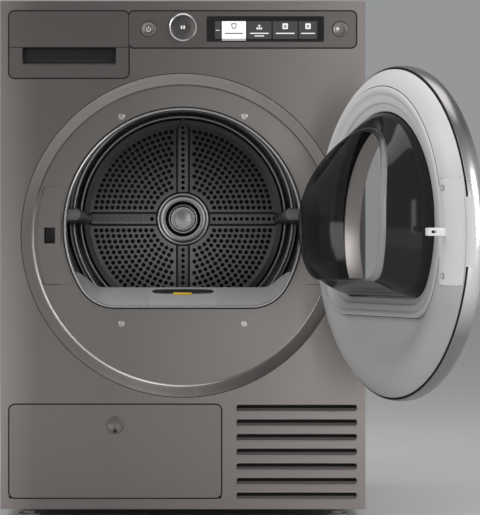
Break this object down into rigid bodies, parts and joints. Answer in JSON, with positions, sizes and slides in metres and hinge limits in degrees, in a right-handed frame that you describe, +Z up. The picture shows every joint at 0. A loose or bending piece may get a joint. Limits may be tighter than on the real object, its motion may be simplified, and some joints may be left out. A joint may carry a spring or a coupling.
{
  "type": "clothes dryer",
  "caption": "Front-loading heat-pump clothes dryer with a round glass door held open, a perforated drum back, a control strip and a tank drawer.",
  "frame": {"origin": "on the floor, midway across the cabinet's width, directly below the face of the front sheet", "axes": "+X to the right seen from the front, +Y from the front sheet to the back, +Z up"},
  "size_m": [0.7239, 1.1219, 0.85],
  "materials": {
    "cabinet_paint": "satin",
    "plate_paint": "satin",
    "galvanised": "dull",
    "tray_plastic": "matte",
    "grille_plastic": "satin",
    "display": "gloss",
    "sill_plastic": "satin",
    "felt": "matte",
    "motor_paint": "satin",
    "belt_rubber": "matte",
    "coil_fins": "dull",
    "copper": "satin",
    "foot_plastic": "matte",
    "dial_metal": "brushed",
    "key_plastic": "satin",
    "tank_plastic": "translucent",
    "filter_plastic": "matte",
    "drum_steel": "brushed",
    "lifter_plastic": "satin",
    "ring_steel": "brushed",
    "smoked_glass": "polished",
    "door_plastic": "satin"
  },
  "bodies": {
    "cabinet": {"front_panel": "cabinet_paint", "door_surround": "cabinet_paint", "side_left": "cabinet_paint", "side_right": "cabinet_paint", "worktop": "cabinet_paint", "rear_panel": "galvanised", "base_tray": "tray_plastic", "vent_grille": "grille_plastic", "control_fascia": "cabinet_paint", "display_glass": "display", "tank_chute": "tray_plastic", "latch_plate": "plate_paint", "hinge_bracket": "plate_paint", "opening_collar": "tray_plastic", "filter_sill": "sill_plastic", "filter_duct": "tray_plastic", "front_bulkhead": "galvanised", "felt_seals": "felt", "rear_bulkhead": "galvanised", "rear_duct": "tray_plastic", "motor": "motor_paint", "motor_bracket": "galvanised", "drive_belt": "belt_rubber", "fan_housing": "tray_plastic", "compressor": "motor_paint", "evaporator": "coil_fins", "condenser": "coil_fins", "refrigerant_pipes": "copper", "exchanger_cover": "tray_plastic", "mains_inlet": "belt_rubber"},
    "leg_front_left": {"foot_front_left": "foot_plastic"},
    "leg_front_right": {"foot_front_right": "foot_plastic"},
    "leg_rear_left": {"foot_rear_left": "foot_plastic"},
    "leg_rear_right": {"foot_rear_right": "foot_plastic"},
    "programme_dial": {"dial": "dial_metal"},
    "power_key": {"power_button": "key_plastic"},
    "start_key": {"start_button": "key_plastic"},
    "tank_drawer": {"drawer_front": "cabinet_paint", "water_tank": "tank_plastic"},
    "filter": {"lint_filter": "filter_plastic"},
    "drum": {"drum_shell": "drum_steel", "drum_back": "drum_steel", "drum_hub": "drum_steel", "drum_lifters": "lifter_plastic"},
    "wheel_left": {"roller_left": "foot_plastic"},
    "wheel_right": {"roller_right": "foot_plastic"},
    "rotor": {"motor_shaft": "drum_steel", "fan_wheel": "tray_plastic"},
    "tensioner": {"tensioner_arm": "galvanised"},
    "idler": {"tensioner_pulley": "filter_plastic"},
    "door": {"door_ring": "ring_steel", "door_cover": "cabinet_paint", "door_window": "smoked_glass", "door_frame": "door_plastic", "door_bowl": "smoked_glass", "door_hook": "door_plastic", "lock_cover": "door_plastic", "hinge_arm": "drum_steel"},
    "flap": {"service_flap": "cabinet_paint"},
    "flap_lock": {"flap_knob": "key_plastic"}
  },
  "joints": [
    {"name": "door_hinge", "type": "hinge", "parent": "cabinet", "child": "door", "pos_m": [0.247, -0.027, 0.468], "axis": [0, 0, 1], "range_deg": [-110.9, 54.1]},
    {"name": "drum_spin", "type": "hinge", "parent": "cabinet", "child": "drum", "pos_m": [0, 0.3, 0.504], "axis": [0, 1, 0], "continuous": true},
    {"name": "roller_left_spin", "type": "hinge", "parent": "cabinet", "child": "wheel_left", "pos_m": [-0.17511, 0.079, 0.25391], "axis": [0, 1, 0], "continuous": true},
    {"name": "roller_right_spin", "type": "hinge", "parent": "cabinet", "child": "wheel_right", "pos_m": [0.17511, 0.079, 0.25391], "axis": [0, 1, 0], "continuous": true},
    {"name": "motor_spin", "type": "hinge", "parent": "cabinet", "child": "rotor", "pos_m": [0.12, 0.4, 0.118], "axis": [0, 1, 0], "continuous": true},
    {"name": "tensioner_swing", "type": "hinge", "parent": "cabinet", "child": "tensioner", "pos_m": [0.232, 0.319, 0.15], "axis": [0, 1, 0], "range_deg": [0, 10], "stiffness_Nm_per_rad": 40},
    {"name": "idler_spin", "type": "hinge", "parent": "tensioner", "child": "idler", "pos_m": [0.20778, 0.307, 0.24001], "axis": [0, 1, 0], "continuous": true},
    {"name": "dial_turn", "type": "hinge", "parent": "cabinet", "child": "programme_dial", "pos_m": [0, 0, 0.806], "axis": [0, 1, 0], "continuous": true},
    {"name": "power_press", "type": "slide", "parent": "cabinet", "child": "power_key", "axis": [0, 1, 0], "range_m": [0, 0.0016], "stiffness_N_per_m": 400},
    {"name": "start_press", "type": "slide", "parent": "cabinet", "child": "start_key", "axis": [0, 1, 0], "range_m": [0, 0.0016], "stiffness_N_per_m": 400},
    {"name": "tank_slide", "type": "slide", "parent": "cabinet", "child": "tank_drawer", "axis": [0, -1, 0], "range_m": [0, 0.45]},
    {"name": "filter_lift", "type": "slide", "parent": "cabinet", "child": "filter", "axis": [0, 0, 1], "range_m": [0, 0.17]},
    {"name": "flap_hinge", "type": "hinge", "parent": "cabinet", "child": "flap", "pos_m": [-0.1105, 0.004, 0.047], "axis": [1, 0, 0], "range_deg": [0, 90]},
    {"name": "flap_knob_turn", "type": "hinge", "parent": "flap", "child": "flap_lock", "pos_m": [-0.1107, 0, 0.1587], "axis": [0, 1, 0], "range_deg": [0, 90]},
    {"name": "leg_front_left_adjust", "type": "slide", "parent": "cabinet", "child": "leg_front_left", "axis": [0, 0, -1], "range_m": [0, 0.012]},
    {"name": "leg_front_right_adjust", "type": "slide", "parent": "cabinet", "child": "leg_front_right", "axis": [0, 0, -1], "range_m": [0, 0.012]},
    {"name": "leg_rear_left_adjust", "type": "slide", "parent": "cabinet", "child": "leg_rear_left", "axis": [0, 0, -1], "range_m": [0, 0.012]},
    {"name": "leg_rear_right_adjust", "type": "slide", "parent": "cabinet", "child": "leg_rear_right", "axis": [0, 0, -1], "range_m": [0, 0.012]}
  ],
  "couplings": [
    {"joint": "roller_left_spin", "follows": "drum_spin", "ratio": -14.25},
    {"joint": "roller_right_spin", "follows": "drum_spin", "ratio": -14.25},
    {"joint": "motor_spin", "follows": "drum_spin", "ratio": 28.5},
    {"joint": "idler_spin", "follows": "drum_spin", "ratio": -20.36}
  ]
}
